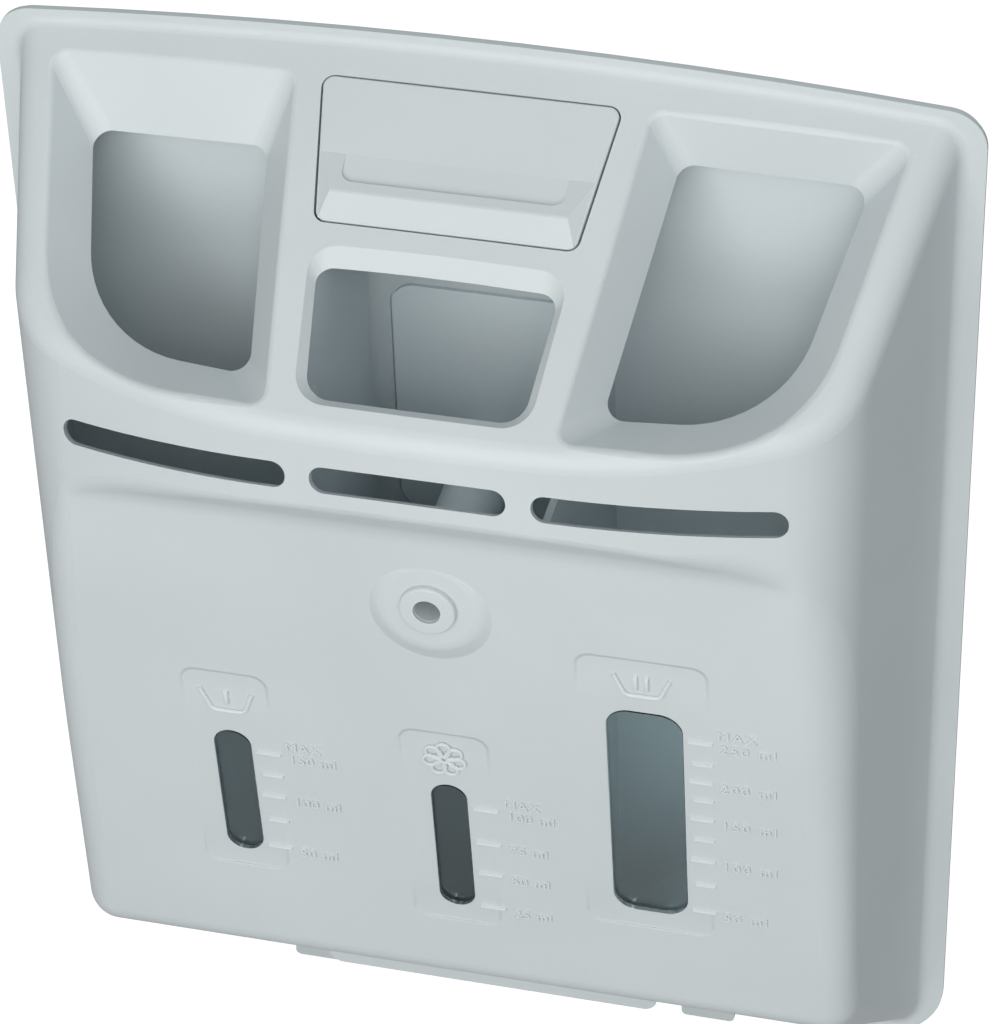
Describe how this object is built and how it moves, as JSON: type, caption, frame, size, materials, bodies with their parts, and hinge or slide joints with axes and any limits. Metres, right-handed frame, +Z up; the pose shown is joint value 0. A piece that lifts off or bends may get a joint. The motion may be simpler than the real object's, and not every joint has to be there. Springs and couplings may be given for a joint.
{
  "type": "detergent dispenser drawer",
  "caption": "Detergent dispenser for a top-loading washer's lid: light grey moulded housing with pouring mouths, outlet slots, siphon, level windows and a release lever.",
  "frame": {"origin": "centre of the rear rim plane that lies against the lid, midway between the rim's corners", "axes": "+X to the right of a person facing the front, +Y to the rear into the lid, +Z up with the lid open"},
  "size_m": [0.245, 0.082, 0.3164],
  "materials": {
    "cover": "fine satin texture",
    "rear": "fine satin texture",
    "siphon": "fine satin texture",
    "lever": "fine satin texture",
    "spring": "drawn wire",
    "window": "clear, polished"
  },
  "bodies": {
    "unit": {"front_cover": "cover", "rear_cover": "rear", "window_prewash": "window", "window_softener": "window", "window_main": "window"},
    "lever": {"release_lever": "lever", "lever_spring": "spring"},
    "cap": {"siphon_cap": "siphon"}
  },
  "joints": [
    {"name": "lever_press", "type": "hinge", "parent": "unit", "child": "lever", "pos_m": [0, -0.01029, 0.14172], "axis": [1, 0, 0], "range_deg": [0, 12], "stiffness_Nm_per_rad": 0.05, "springref_deg": -14.9},
    {"name": "cap_pull", "type": "slide", "parent": "unit", "child": "cap", "axis": [0, 1, 0], "range_m": [0, 0.06]}
  ]
}
